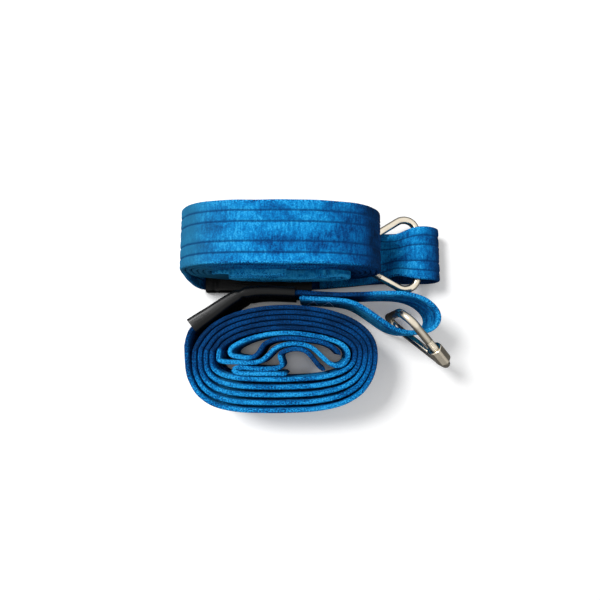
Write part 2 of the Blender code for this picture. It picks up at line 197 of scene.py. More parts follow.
# The fullness is that of the core's upper half, its lower left and its lower right. A drift is the length
# over which the band goes from one shift to the next. The hand loop and its tail are given by corner
# points, measured from the coil's middle.
HAND_LOOP = [
    (-48.5, -5.1), (-44.0, -7.2), (-35.3, -7.5), (-25.3, -8.0), (-16.7, -6.7), (-11.2, -2.4),
    (-6.1, 2.6), (2.2, 5.8), (12.7, 6.2), (21.7, 3.6), (28.3, -1.8), (34.1, -7.2), (40.1, -10.2),
    (46.1, -8.9), (49.5, -3.9), (48.9, 1.8), (43.5, 6.7), (33.7, 10.3), (22.1, 12.8), (5.7, 14.6),
    (-11.3, 13.5), (-25.3, 10.2), (-34.8, 6.1), (-39.7, 2.0), (-38.9, -2.0), (-33.3, -3.4),
    (-26.5, -4.1), (-20.5, -2.6), (-17.1, 1.5), (-14.2, 5.9), (-7.3, 9.3), (2.7, 10.6), (15.7, 9.8),
    (28.7, 7.7), (37.7, 4.0), (43.7, -1.8),
]
HAND_TAIL = [
    (3.4, -16.4), (-9.3, -16.3), (-21.3, -16.1), (-29.3, -15.9), (-35.2, -14.9), (-36.9, -13.2),
    (-34.7, -11.6), (-28.3, -11.8), (-22.3, -12.2), (-14.3, -12.7), (-4.9, -12.2), (-0.3, -9.7),
    (-1.7, -4.8), (-1.5, -0.9), (4.7, 1.9), (12.7, 2.4), (18.9, -0.3), (23.7, -5.6), (27.7, -10.5),
    (32.1, -13.5),
]
# A strap's table gives its places and how they are bent. Reach is how far the coil's outer turn lies
# outside its core, pitch the step to the next turn, belly the slack of its lower side, and pressed the
# dent at its upper left. A mirrored coil is turned upside down. Pinch is where the link bunches the eye,
# and the link's tip points along heading, in degrees. Stitch_side is the face that the thread stands on,
# and phase sets the straps' unevenness apart. The rest sets the painted shade, highlight and sheen on the
# velvet, with its places counted in the route's given points from the eye's end, or from the hand loop's
# end.
FRONT = {
    "name": "front", "joint": "front_link_swing", "hinge": FRONT_HINGE,
    "up": (0, 1, 0), "across": (0, 0, 1),
    "coil": {"middle": (-20.7, -1.65), "core": (58.4, 23.75), "reach": 14.0, "pitch": 4.15,
             "drift": (0.25, 0.2), "belly": 7.0, "pressed": 2.9, "mirrored": False},
    "eye": [(-8.2, 39.7), (8.0, 38.6), (22.0, 37.6), (34.0, 34.8), (45.6, 27.8), (59.4, 18.0),
            (70.0, 13.8), (82.0, 13.4), (91.5, 15.6), (96.4, 22.0), (95.0, 29.8), (87.0, 37.4),
            (74.0, 41.8), (58.0, 42.6), (40.0, 42.0), (22.0, 41.9), (8.0, 42.7), (-8.2, 43.8)],
    "sleeve": [(-11.5, 44.2), (-26.0, 44.9), (-40.0, 44.8), (-51.8, 42.6), (-62.6, 36.4),
               (-75.6, 26.5), (-88.2, 16.9)],
    "turn_in": [(-91.6, 11.0), (-93.0, 4.6)],
    "shifts": {"eye": 7.3, "sleeve": 2.1, "hand": 0.0},
    "pinch": {"at": (84.0, 13.6), "spread": 14.0, "depth": 6.2},
    "stitch_side": -1, "heading": -44.0, "phase": 0.0, "bright_eye_points": 14, "painted_shade_lean": -0.1,
    "highlighted_painted_shade": -0.05, "painted_sheen_by_lean": 0.0, "inner_shade": 0.0,
    "shaded_loop_points": 9, "tail_highlighted_share": 0.66,
}
REAR = {
    "name": "rear", "joint": "rear_link_swing", "hinge": REAR_HINGE,
    "up": (0, 0, 1), "across": (0, -1, 0),
    "coil": {"middle": (-20.6, 46.8), "core": (60.7, 23.9), "reach": 14.0, "pitch": 4.1,
             "drift": (0.1, -0.1), "belly": 3.0, "pressed": 0.0, "mirrored": True},
    "eye": [(8.0, 6.2), (18.0, 5.7), (32.0, 5.6), (46.0, 5.6), (56.0, 6.5), (64.0, 9.5),
            (72.0, 17.2), (80.5, 23.9), (90.0, 26.6), (99.0, 24.6), (106.0, 18.4), (107.4, 10.4),
            (103.0, 4.0), (94.0, 1.7), (78.0, 1.7), (60.0, 1.7), (40.0, 1.7), (20.0, 1.8), (8.0, 2.6)],
    "sleeve": [(1.5, 3.6), (-10.0, 3.7), (-30.0, 3.8), (-50.0, 4.0), (-70.0, 4.2), (-89.0, 4.6)],
    "turn_in": [(-93.4, 8.6), (-95.6, 17.6), (-95.9, 31.0)],
    "shifts": {"eye": 1.0, "sleeve": 6.5, "hand": 4.0},
    "pinch": {"at": (70.0, 15.5), "spread": 13.0, "depth": 4.6},
    "stitch_side": 1, "heading": 185.4, "phase": 4.0, "bright_eye_points": 0, "painted_shade_lean": 1.1,
    "highlighted_painted_shade": -0.3, "painted_sheen_by_lean": 1.8, "inner_shade": 0.45,
    "shaded_loop_points": 0, "tail_highlighted_share": 1.0,
}


def smooth_route(points, parts):
    """Points on a smooth curve through the given ones, each span cut in equal parts.

    A span is the cubic whose slope at either end is half the step between that end's neighbours.
    """
    given = np.array(points, float)
    given = np.vstack([2 * given[0] - given[1], given, 2 * given[-1] - given[-2]])
    before, start, end, after = (given[k : len(given) - 3 + k, None] for k in range(4))
    t = (np.arange(parts) / parts)[None, :, None]
    bend = 2 * before - 5 * start + 4 * end - after + t * (3 * (start - end) + after - before)
    curve = start + 0.5 * t * (end - before + t * bend)
    return np.vstack([curve.reshape(-1, 2), given[-2]])


def distance_along(route):
    """The running sum of the route's steps."""
    return np.concatenate([[0.0], np.cumsum(np.linalg.norm(np.diff(route, axis=0), axis=1))])


def oval(core, facing, reach):
    """Points of a squared oval whose outward direction is facing, grown outwards by reach.

    A quarter is a superellipse of the given fullness, and its point for a direction comes from the
    gradient of its dual power sum.
    """
    length, height = core
    c, s = np.cos(facing), np.sin(facing)
    full = np.where(s > 0, CORE_FULLNESS[0], np.where(c < 0, CORE_FULLNESS[1], CORE_FULLNESS[2]))
    along, across = length * np.abs(c), height * np.abs(s)
    dual = full / (full - 1)
    size = (along**dual + across**dual) ** (1 / dual)
    right = np.sign(c) * length * (along / size) ** (1 / (full - 1)) + reach * c
    up = np.sign(s) * height * (across / size) ** (1 / (full - 1)) + reach * s
    return np.stack([right, up], axis=-1)


def from_coil_middle(coil, points):
    """Points given from the coil's middle, in the strap's plane, upside down in a mirrored coil."""
    return np.array(points, float) * (1, -1 if coil["mirrored"] else 1) + np.array(coil["middle"])


def coil_route(coil):
    """The coil's turns from the outside in: the oval at an even pitch, with slack and pressed sides.

    A turn's points are spaced half by distance and half by direction. The slack goes with the cube of
    how far down a side faces, and is used up evenly towards the inside. The pressed dent is a bell
    curve of the direction, and the outermost half turn goes without it.
    """
    fine = np.linspace(-math.pi, math.pi, OVAL_STEPS + 1)
    far = distance_along(oval(coil["core"], fine, coil["reach"] - coil["pitch"] * COIL_TURNS / 2))
    share = (far / far[-1] + (fine + math.pi) / (2 * math.pi)) / 2
    one_turn = np.interp(np.arange(POINTS_A_TURN) / POINTS_A_TURN, share, fine)
    facing = np.tile(one_turn, COIL_TURNS)
    turns = np.arange(len(facing)) / POINTS_A_TURN
    slack = coil["belly"] * (1 - turns / COIL_TURNS) * np.clip(-np.sin(facing), 0, 1) ** 3
    away = (np.degrees(facing) - PRESSED_FACING + 180) % 360 - 180
    pressed = coil["pressed"] * np.exp(-((away / PRESSED_SPREAD) ** 2)) * (turns > 0.5)
    route = oval(coil["core"], facing, coil["reach"] - coil["pitch"] * turns + slack - pressed)
    return from_coil_middle(coil, route) + turns[:, None] * np.array(coil["drift"])


def strap_route(strap):
    """The band's corner points from the eye's sewn end to the hand loop, with what goes with them.

    The shift moves the band along its width, and the half width is less where the link bunches it, by
    a bell curve of the distance from there.
    Highlighted is 1, for a painted highlight, on as many of the eye's first given points as the table says
    and on the hand loop but its shaded end, and 0 elsewhere. Rolled is 1 on the coil's turns only. Inner is
    painted shade that all but the outer turn get, and that the hand loop's inner end gets.
    """
    coil = coil_route(strap["coil"])
    lead = smooth_route([*strap["eye"], *strap["sleeve"], *strap["turn_in"], *coil[:2]], POINTS_A_SPAN)
    lead = lead[: -2 * POINTS_A_SPAN + 1]
    loop = from_coil_middle(strap["coil"], HAND_LOOP)
    hand = smooth_route([*coil[-2:], *loop], POINTS_A_SPAN)[2 * POINTS_A_SPAN :]
    route = np.vstack([lead, coil[1:], hand])
    start = len(strap["eye"]) * POINTS_A_SPAN
    end = start + (len(strap["sleeve"]) - 1) * POINTS_A_SPAN
    coil_end = len(lead) + len(coil) - 2
    far = distance_along(route)
    eye, sleeve, hand_shift = strap["shifts"].values()
    mouth = route[start, 0]
    beside = np.interp(route[:start, 0], [mouth, mouth + EYE_DRIFT], [sleeve, eye])
    places = [far[end], far[end] + COIL_DRIFT, far[coil_end], far[coil_end] + HAND_DRIFT]
    shifts = np.concatenate([beside, np.interp(far[start:], places, [sleeve, 0, 0, hand_shift])])
    pinch = strap["pinch"]
    eye_route = route[: (len(strap["eye"]) - 1) * POINTS_A_SPAN]
    nearest = np.linalg.norm(eye_route - pinch["at"], axis=1).argmin()
    half_widths = HALF_WIDTH - pinch["depth"] * np.exp(-(((far - far[nearest]) / pinch["spread"]) ** 2))
    highlighted = np.ones(len(route))
    highlighted[strap["bright_eye_points"] * POINTS_A_SPAN : coil_end] = 0
    rolled = np.zeros(len(route))
    rolled[len(lead) : coil_end] = 1
    # Painted shade on all turns but the outer one, and on the hand loop's inner end.
    inner = np.zeros(len(route))
    inner[len(lead) + POINTS_A_TURN : coil_end] = strap["inner_shade"]
    shaded = slice(len(route) - strap["shaded_loop_points"] * POINTS_A_SPAN, None)
    highlighted[shaded], inner[shaded] = 0, LOOP_END_SHADE
    return route, (half_widths, shifts, highlighted, rolled, inner), (start, end)


for strap in (FRONT, REAR):
    right, up, across = (1, 0, 0), strap["up"], strap["across"]
    strap["axes"] = np.array([right, up, across], float)
    strap["zero"] = np.array(joints[strap["joint"]]["pos_m"]) / MM - strap["hinge"] @ strap["axes"]
    strap["route"], strap["values"], strap["sleeve_span"] = strap_route(strap)


# The covers are crushed velvet tubes round the webbing, turned over at the edges and quilted flat by
# four lines of stitching, so that five soft channels run along each band. No channel and no edge is
# quite even, as in all sewn velvet.
STEP_ALONG = 1.7
HALF_THICKNESS = 1.72
EDGE_RADIUS = 1.7
QUILT_LINES = (7.0, 15.0)
QUILT_DEPTH = 0.5
QUILT_SPREAD = 0.95
FACE_PLACES = (0.0, 3.4, 5.3, 6.2, 7.0, 7.8, 8.8, 11.0, 13.3, 14.2, 15.0, 15.8, 16.8, 18.8, 20.8)
EDGE_POINTS = 7
WIDTH_WANDER = 0.45
EDGE_WAVES = (46, 37)
CHANNEL_WANDER = 0.14
CHANNEL_WAVE = 17
CHANNEL_SKEW = 1.7
END_ROUNDING = 2.2
END_ROUNDED_SHARE = 0.97
RIM_FULLNESS = 3.0
# Painted shade: how much darker the band is painted where it runs leftwards.
PAINTED_SHADE_TURN = 0.75


def wander(far, length, phase):
    """A gentle uneven wave from -1 to 1: three sines whose lengths are in no simple ratio."""
    waves = [np.sin(2 * np.pi * far / (length * ratio) + phase * 2.4 + k) for k, ratio in
             enumerate((1.0, 0.618, 1.732))]
    return sum(waves) / 3


def resample(route, step, *values):
    """The route made smooth and cut at even steps, with the values that go with it, straight between
    corners.
    """
    parts = 10
    curve = smooth_route(route, parts)
    far = distance_along(curve)
    places = np.linspace(0, far[-1], int(far[-1] / step) + 1)
    corners = far[::parts]
    points = np.stack([np.interp(places, far, column) for column in curve.T], axis=1)
    return points, places, [np.interp(places, corners, value) for value in values]


def carried(strap, points, off, width):
    """Sections carried along a route in the strap's plane, as rows of places in millimetres.

    A section's point lies off the route along the route's left normal, and width along the band's width.
    """
    ahead = np.gradient(points, axis=0)
    ahead /= np.linalg.norm(ahead, axis=1)[:, None]
    left = np.stack([-ahead[:, 1], ahead[:, 0]], axis=1)
    flat = points[:, None] + off[..., None] * left[:, None]
    return strap["zero"] + np.concatenate([flat, width[..., None]], axis=2) @ strap["axes"]


def skin(name, rows, along, around, looped=False):
    """A closed mesh over rows of closed sections, smooth shaded.

    Each face joins neighbours in a row to the same two in the next row. The ends are filled, or the
    last row is joined to the first. The UV map cloth holds the distances along and round, in metres.
    """
    count, sides = rows.shape[:2]
    spots = np.arange(count * sides).reshape(count, sides)
    if looped:
        spots = np.vstack([spots, spots[:1]])
        along = np.append(along, along[-1] + along[1] - along[0])
    after = np.roll(spots, -1, axis=1)
    faces = np.stack([spots[:-1], spots[1:], after[1:], after[:-1]], axis=-1).reshape(-1, 4).tolist()
    u = np.broadcast_to(along[:, None], spots.shape)
    u = np.stack([u[:-1], u[1:], u[1:], u[:-1]], axis=-1)
    v = np.broadcast_to(np.stack([around[:-1], around[:-1], around[1:], around[1:]], axis=-1), u.shape)
    uv = np.stack([u, v], axis=-1).reshape(-1, 2)
    if not looped:
        faces += [spots[0].tolist(), spots[-1][::-1].tolist()]
        ends = [np.stack([np.full(sides, place), around[:-1]], axis=-1) for place in (along[0], along[-1])]
        uv = np.vstack([uv, ends[0], ends[1][::-1]])
    mesh = bpy.data.meshes.new(name)
    mesh.from_pydata((rows.reshape(-1, 3) * MM).tolist(), [], faces)
    mesh.uv_layers.new(name="cloth").data.foreach_set("uv", (uv * MM).ravel())
    mesh.shade_smooth()
    return mesh


def dress(name, mesh, finish, body, slot, *nodes):
    """Puts a finished piece on its body, in place of the solids that it stands for."""
    mesh.materials.append(finish)
    made = bpy.data.objects.new(name, mesh)
    bpy.context.collection.objects.link(made)
    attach(made, body)
    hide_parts(*nodes)
    return made


# The section's places lie closer beside the quilted lines, where the face dips by a bell curve.
face = np.array([*(-np.array(FACE_PLACES[:0:-1])), *FACE_PLACES])
off_line = np.abs(np.abs(face)[:, None] - np.array(QUILT_LINES)).min(axis=1)
face_height = HALF_THICKNESS - QUILT_DEPTH * np.exp(-((off_line / QUILT_SPREAD) ** 2))
# The rim is a superellipse, fuller than a half circle, because the velvet is folded flat round the edge.
turn = np.linspace(math.pi / 2, -math.pi / 2, EDGE_POINTS + 2)[1:-1]
rim_off = EDGE_RADIUS * np.sign(np.sin(turn)) * np.abs(np.sin(turn)) ** (2 / RIM_FULLNESS)
rim_out = EDGE_RADIUS * np.cos(turn) ** (2 / RIM_FULLNESS)
section_off = np.concatenate([face_height[::-1], rim_off, -face_height, -rim_off])
section_flat = np.concatenate([face[::-1], np.full(EDGE_POINTS, -face[-1]), face,
                               np.full(EDGE_POINTS, face[-1])])
section_edge = np.concatenate([np.zeros(len(face)), -rim_out, np.zeros(len(face)), rim_out])
outline = np.stack([section_off, section_flat + section_edge], axis=1)
section_girth = distance_along(np.vstack([outline, outline[:1]]))
section_girth -= section_girth[len(FACE_PLACES) - 1]
SECTION_GIRTH = float(section_girth[-1] - section_girth[0])


def band_mesh(name, strap, route, values, phase):
    """The quilted section carried along a route, with its edges and channels a little uneven.

    The flat part of the section shrinks with the half width. At both ends the thickness is rounded off.
    The attribute painted_shade is painted shade, 0 bright and 1 dark, set by the band's direction: darker
    where it runs leftwards, and by the lean where it runs up or down. Below 0 it is a painted highlight, on
    the highlighted parts. The attribute painted_sheen paints a dull teal sheen where the coil's turns rise.
    """
    points, far, (half, shift, highlighted, rolled, inner) = resample(route, STEP_ALONG, *values)
    ahead = np.gradient(points, axis=0)
    ahead /= np.linalg.norm(ahead, axis=1)[:, None]
    painted_shade = PAINTED_SHADE_TURN * (1 - ahead[:, 0]) - strap["painted_shade_lean"] * ahead[:, 1]
    painted_shade = (1 - highlighted) * np.clip(np.clip(painted_shade, 0, 1) + inner, 0, 1) + strap["highlighted_painted_shade"] * highlighted
    low_wave, high_wave = EDGE_WAVES
    low = half - EDGE_RADIUS - WIDTH_WANDER * (0.5 + 0.5 * wander(far, low_wave, phase))
    high = half - EDGE_RADIUS - WIDTH_WANDER * (0.5 + 0.5 * wander(far, high_wave, phase + 2))
    flat = section_flat[None, :] / face[-1]
    width = np.where(flat > 0, flat * high[:, None], flat * low[:, None]) + section_edge + shift[:, None]
    to_end = np.minimum(far, far[-1] - far)
    rounding = np.sqrt(1 - np.clip(1 - to_end / END_ROUNDING, 0, END_ROUNDED_SHARE) ** 2)
    skewed = far[:, None] + section_flat * CHANNEL_SKEW
    puff = 1 + CHANNEL_WANDER * wander(skewed, CHANNEL_WAVE, phase) * (np.abs(flat) < 1)
    off = section_off * puff * rounding[:, None]
    mesh = skin(name, carried(strap, points, off, width), far, section_girth)
    # Painted sheen where the coil's turns rise.
    painted_sheen = rolled * np.clip(strap["painted_sheen_by_lean"] * ahead[:, 1], 0, 1)
    for attribute, amounts in (("painted_shade", painted_shade), ("painted_sheen", painted_sheen)):
        made = mesh.attributes.new(attribute, "FLOAT", "POINT")
        made.data.foreach_set("value", np.repeat(amounts, off.shape[1]))
    return mesh, far[-1]


# Crushed pile is dark where it lies away and bright where it is brushed up. The patches are about
# 22 mm long, the strokes across the band 1.8 mm apart and 6 mm long, and the tufts 1.1 mm. Each pattern
# is given by its counts in a metre, along the cloth and across it, then its detail and its roughness.
PATCHES = ((45, 66), 3.0, 0.6)
STROKES = ((560, 170), 2.0, 0.65)
TUFTS = ((900, 900), 1.0, 0.6)
VELVET_BRIGHTEST = "2CA4E2"
VELVET_LIGHT = "0F8BD0"
VELVET_MIDDLE = "0670B4"
VELVET_DARK = "024684"
VELVET_DEEP = "012348"
VELVET_GROOVE_SHADE = "022F60"
VELVET_SHEEN = "48A4CC"
VELVET_PAINTED_SHEEN = "20678B"
LEAST_DEPTH = 0.1
# How far the painted shade darkens the blue.
PAINTED_SHADE_DARKNESS = 0.76
PAINTED_SHEEN_SHARE = 0.85
FACE_EDGE = (19.5, 21.5)
RIM_EDGE = (20.5, 22.0)
GROOVE_SIDE = (0.3, 1.2)
BEAD_PITCH = 2.3
BEAD_UNEVENNESS = 14.0

velvet, tree, shader = new_material("crushed_velvet")
cloth = node(tree, "ShaderNodeUVMap", uv_map="cloth").outputs["UV"]
patches, strokes, tufts = (
    node(tree, "ShaderNodeTexNoise", {
        "Vector": node(tree, "ShaderNodeMapping", {"Vector": cloth, "Scale": (*counts, 1)}).outputs[0],
        "Scale": 1.0, "Detail": detail, "Roughness": roughness}).outputs[0]
    for counts, detail, roughness in (PATCHES, STROKES, TUFTS))
crushed = node(tree, "ShaderNodeMapRange", {"Value": patches, "From Min": 0.42, "From Max": 0.66,
                                             "To Min": 0.0, "To Max": 0.46}).outputs[0]
ragged = node(tree, "ShaderNodeMapRange", {"Value": strokes, "From Min": 0.34, "From Max": 0.66,
                                            "To Min": -0.15, "To Max": 0.2}, clamp=False).outputs[0]
speckled = node(tree, "ShaderNodeMapRange", {"Value": tufts, "From Min": 0.35, "From Max": 0.65,
                                              "To Min": -0.11, "To Max": 0.13}).outputs[0]
in_millimetres = node(tree, "ShaderNodeMapping", {"Vector": cloth, "Scale": (1 / MM, 1 / MM, 1)})
place = node(tree, "ShaderNodeSeparateXYZ", {0: in_millimetres.outputs[0]})
from_middle = node(tree, "ShaderNodeMath", {0: place.outputs["Y"], 1: SECTION_GIRTH / 4},
                   operation="PINGPONG").outputs[0]
# The rims are overcast by stitches, one every 2.3 mm and unevenly pulled, that part the pile a little.
beads = node(tree, "ShaderNodeMath", {0: place.outputs["X"], 1: 2 * math.pi / BEAD_PITCH},
             operation="MULTIPLY").outputs[0]
uneven = node(tree, "ShaderNodeMath", {0: patches, 1: BEAD_UNEVENNESS}, operation="MULTIPLY").outputs[0]
beads = node(tree, "ShaderNodeMath", {0: beads, 1: uneven}, operation="ADD").outputs[0]
beads = node(tree, "ShaderNodeMath", {0: beads}, operation="SINE").outputs[0]
at_rim = node(tree, "ShaderNodeMapRange", {"Value": from_middle, "From Min": RIM_EDGE[0],
                                            "From Max": RIM_EDGE[1], "To Min": 0.0,
                                            "To Max": 0.08}).outputs[0]
beads = node(tree, "ShaderNodeMath", {0: beads, 1: at_rim}, operation="MULTIPLY").outputs[0]
# Strokes show on the faces only, and the specks are stronger on the rims.
calm = node(tree, "ShaderNodeMapRange", {"Value": from_middle, "From Min": FACE_EDGE[0],
                                          "From Max": FACE_EDGE[1], "To Min": 1.0,
                                          "To Max": 0.3}).outputs[0]
ragged = node(tree, "ShaderNodeMath", {0: ragged, 1: calm}, operation="MULTIPLY").outputs[0]
speckled = node(tree, "ShaderNodeMath", {0: speckled, 1: calm}, operation="DIVIDE").outputs[0]
# The patterns show less where the painted shade is deep, and with it they give how deep the blue is, so
# the ramp's darker blues come mostly from painted shade.
painted_shade = node(tree, "ShaderNodeAttribute", attribute_name="painted_shade").outputs["Fac"]
texture = LEAST_DEPTH
for part in (crushed, ragged, speckled, beads):
    texture = node(tree, "ShaderNodeMath", {0: texture, 1: part}, operation="ADD").outputs[0]
strength = node(tree, "ShaderNodeMapRange", {"Value": painted_shade, "From Min": 0.0, "From Max": 1.0,
                                              "To Min": 1.0, "To Max": 0.45}).outputs[0]
texture = node(tree, "ShaderNodeMath", {0: texture, 1: strength}, operation="MULTIPLY").outputs[0]
depth = node(tree, "ShaderNodeMath", {0: painted_shade, 1: PAINTED_SHADE_DARKNESS, 2: texture},
             operation="MULTIPLY_ADD").outputs[0]
ramp = node(tree, "ShaderNodeValToRGB", {"Fac": depth})
ramp.color_ramp.elements[0].color = linear(VELVET_BRIGHTEST)
ramp.color_ramp.elements[1].color = linear(VELVET_DEEP)
for at_depth, tone in ((0.14, VELVET_LIGHT), (0.36, VELVET_MIDDLE), (0.68, VELVET_DARK)):
    ramp.color_ramp.elements.new(at_depth).color = linear(tone)
# Painted sheen: a dull teal cast mixed in where the coil's turns rise.
painted_sheen = node(tree, "ShaderNodeAttribute", attribute_name="painted_sheen").outputs["Fac"]
painted_sheen = node(tree, "ShaderNodeMath", {0: painted_sheen, 1: PAINTED_SHEEN_SHARE}, operation="MULTIPLY").outputs[0]
pile_colour = node(tree, "ShaderNodeMix", {0: painted_sheen, 6: ramp.outputs["Color"],
                                           7: linear(VELVET_PAINTED_SHEEN)}, data_type="RGBA").outputs[2]
# The quilted lines are sewn down into grooves, painted darker: painted shade in the groove, together
# with the pile pressed flat by the stitches.
gaps = [node(tree, "ShaderNodeMath", {0: from_middle, 1: line}, operation="SUBTRACT").outputs[0]
        for line in QUILT_LINES]
gaps = [node(tree, "ShaderNodeMath", {0: gap}, operation="ABSOLUTE").outputs[0] for gap in gaps]
nearest = node(tree, "ShaderNodeMath", {0: gaps[0], 1: gaps[1]}, operation="MINIMUM").outputs[0]
in_groove = node(tree, "ShaderNodeMapRange", {"Value": nearest, "From Min": GROOVE_SIDE[0],
                                               "From Max": GROOVE_SIDE[1], "To Min": 0.75,
                                               "To Max": 0.0}).outputs[0]
colour = node(tree, "ShaderNodeMix", {0: in_groove, 6: pile_colour, 7: linear(VELVET_GROOVE_SHADE)},
              data_type="RGBA").outputs[2]
tree.links.new(colour, shader.inputs["Base Color"])
lustre = node(tree, "ShaderNodeMapRange", {"Value": depth, "From Min": 0.0, "From Max": 0.8,
                                            "To Min": 0.3, "To Max": 0.0}).outputs[0]
tree.links.new(lustre, shader.inputs["Sheen Weight"])
pile = node(tree, "ShaderNodeMath", {0: strokes, 1: tufts}, operation="ADD").outputs[0]
bump = node(tree, "ShaderNodeBump", {"Height": pile, "Strength": 0.5, "Distance": 0.35 * MM})
tree.links.new(bump.outputs["Normal"], shader.inputs["Normal"])
shader.inputs["Roughness"].default_value = 0.8
shader.inputs["Specular IOR Level"].default_value = 0.08
shader.inputs["Sheen Roughness"].default_value = 0.35
shader.inputs["Sheen Tint"].default_value = linear(VELVET_SHEEN)

for strap in (FRONT, REAR):
    prefix, body = strap["name"], strap["name"] + "_strap"
    mesh, length = band_mesh(prefix + "_cover", strap, strap["route"], strap["values"], strap["phase"])
    nodes = (prefix + "_strap_velvet_cover", prefix + "_strap_webbing")
    cover = dress(prefix + "_cover", mesh, velvet, body, "velvet", *nodes)

    # The tail's first part gets the painted highlight, and the rest the loop end's painted shade.
    route = from_coil_middle(strap["coil"], smooth_route(HAND_TAIL, POINTS_A_SPAN))
    highlighted = (np.arange(len(route)) < strap["tail_highlighted_share"] * len(route)).astype(float)
    full = np.ones(len(route))
    values = [full * HALF_WIDTH, full * strap["shifts"]["hand"], highlighted, 0 * full,
              LOOP_END_SHADE * (1 - highlighted)]
    mesh, length = band_mesh(prefix + "_tail", strap, route, values, strap["phase"] + 9)
    nodes = (prefix + "_tail_velvet_cover", prefix + "_tail_webbing")
    tail = dress(prefix + "_tail", mesh, velvet, body, "velvet", *nodes)


# Each sleeve is a flat tube of soft black rubber, drawn over the band beside the sewn eye. It is cut
# off square, crowned on its faces, opens a little towards the coil, and is creased where it bends.
SLEEVE_STEP = 0.8
SLEEVE_WALL = 1.5
SLEEVE_HALF_DEPTH = 3.6
SLEEVE_MOUTH_FLARE = 0.8
OUTER_FACE_FLARES = {"front": 3.4, "rear": 0.0}
SLEEVE_HALF_WIDTH = 24.6
SLEEVE_CORNER = 2.6
SLEEVE_CROWN = 0.35
CREASE_DEPTH = 0.9
CREASE_SPREAD = 2.2
CREASE_BEND = 0.01
FLAT_PARTS = 14
CORNER_PARTS = 8
SLEEVE_SHARP_ANGLE = 50

# Moulded rubber is near black with a satin gloss. It is a little duller and dustier in scuffs 22 mm long
# and 7 mm across, and its grain is drawn out along the sleeve, 11 mm long and 1.1 mm across. Both are
# given in the same way as the velvet's patterns.
GRAIN = ((90, 900), 4.0, 0.6)
SCUFFS = ((45, 140), 3.0, 0.55)
RUBBER_COLOUR = "0A0B0C"
RUBBER_DUST = "1B1C1E"

rubber, tree, shader = new_material("satin_moulded_rubber")
cloth = node(tree, "ShaderNodeUVMap", uv_map="cloth").outputs["UV"]
grain, scuffs = (
    node(tree, "ShaderNodeTexNoise", {
        "Vector": node(tree, "ShaderNodeMapping", {"Vector": cloth, "Scale": (*counts, 1)}).outputs[0],
        "Scale": 1.0, "Detail": detail, "Roughness": roughness}).outputs[0]
    for counts, detail, roughness in (GRAIN, SCUFFS))
polish = node(tree, "ShaderNodeMapRange", {"Value": scuffs, "From Min": 0.35, "From Max": 0.7,
                                            "To Min": 0.27, "To Max": 0.38}).outputs[0]
tree.links.new(polish, shader.inputs["Roughness"])
dusty = node(tree, "ShaderNodeMapRange", {"Value": scuffs, "From Min": 0.5, "From Max": 0.75,
                                           "To Min": 0.0, "To Max": 0.35}).outputs[0]
colour = node(tree, "ShaderNodeMix", {0: dusty, 6: linear(RUBBER_COLOUR), 7: linear(RUBBER_DUST)},
              data_type="RGBA").outputs[2]
tree.links.new(colour, shader.inputs["Base Color"])
shader.inputs["Specular IOR Level"].default_value = 0.17
bump = node(tree, "ShaderNodeBump", {"Height": grain, "Strength": 0.3, "Distance": 0.25 * MM})
tree.links.new(bump.outputs["Normal"], shader.inputs["Normal"])


def oblong(half_depth, half_width, corner, crown):
    """Flat oblongs with rounded corners and crowned faces, one for each half depth, as (off, width).

    They run from the top of the left face down, round the bottom edge, up the right face and over. The
    crown is a parabola across the face.
    """
    share = np.linspace(1, -1, FLAT_PARTS + 1)
    bend = np.linspace(math.pi / 2, -math.pi / 2, 2 * CORNER_PARTS + 1)[1:-1]
    straight = half_width - corner
    faces = half_depth[:, None] + crown * (1 - share**2)
    edge_off = np.sign(np.sin(bend)) * (half_depth[:, None] - corner) + corner * np.sin(bend)
    off = np.concatenate([faces, edge_off, -faces[:, ::-1], -edge_off], axis=1)
    edge = np.cos(bend) * corner
    width = np.concatenate([share * straight, -straight - edge, -share * straight, straight + edge])
    return off, np.broadcast_to(width, off.shape)


# The mouth opens with the square of the distance, and the crease is a bell curve at the sharpest bend.
for strap in (FRONT, REAR):
    prefix = strap["name"]
    start, end = strap["sleeve_span"]
    points, far, _ = resample(strap["route"][start : end + 1], SLEEVE_STEP)
    ahead = np.gradient(points, axis=0)
    bend = np.abs(np.gradient(np.unwrap(np.arctan2(ahead[:, 1], ahead[:, 0])), far))
    crease = CREASE_DEPTH * np.exp(-(((far - far[bend.argmax()]) / CREASE_SPREAD) ** 2))
    crease *= bend.max() > CREASE_BEND
    opening = (far / far[-1]) ** 2
    shell = []
    for inset in (0.0, SLEEVE_WALL):
        depth = SLEEVE_HALF_DEPTH - inset + SLEEVE_MOUTH_FLARE * opening - crease * (inset == 0)
        off, width = oblong(depth, SLEEVE_HALF_WIDTH - inset, SLEEVE_CORNER - inset, SLEEVE_CROWN)
        away = np.clip(-off / SLEEVE_HALF_DEPTH, 0, 1) * OUTER_FACE_FLARES[prefix] * opening[:, None]
        shell.append(carried(strap, points, off - away, width + strap["shifts"]["sleeve"]))
    outer, inner = shell
    rows = np.concatenate([outer, inner[::-1]])
    along = np.concatenate([far, far[-1] + SLEEVE_WALL + far])
    off, width = oblong(np.array([SLEEVE_HALF_DEPTH]), SLEEVE_HALF_WIDTH, SLEEVE_CORNER, SLEEVE_CROWN)
    outline = np.stack([off[0], width[0]], axis=1)
    mesh = skin(prefix + "_rubber_sleeve", rows, along, distance_along(np.vstack([outline, outline[:1]])),
                looped=True)
    mesh.set_sharp_from_angle(angle=math.radians(SLEEVE_SHARP_ANGLE))
    dress(prefix + "_rubber_sleeve", mesh, rubber, prefix + "_strap", "sleeve", prefix + "_sleeve")


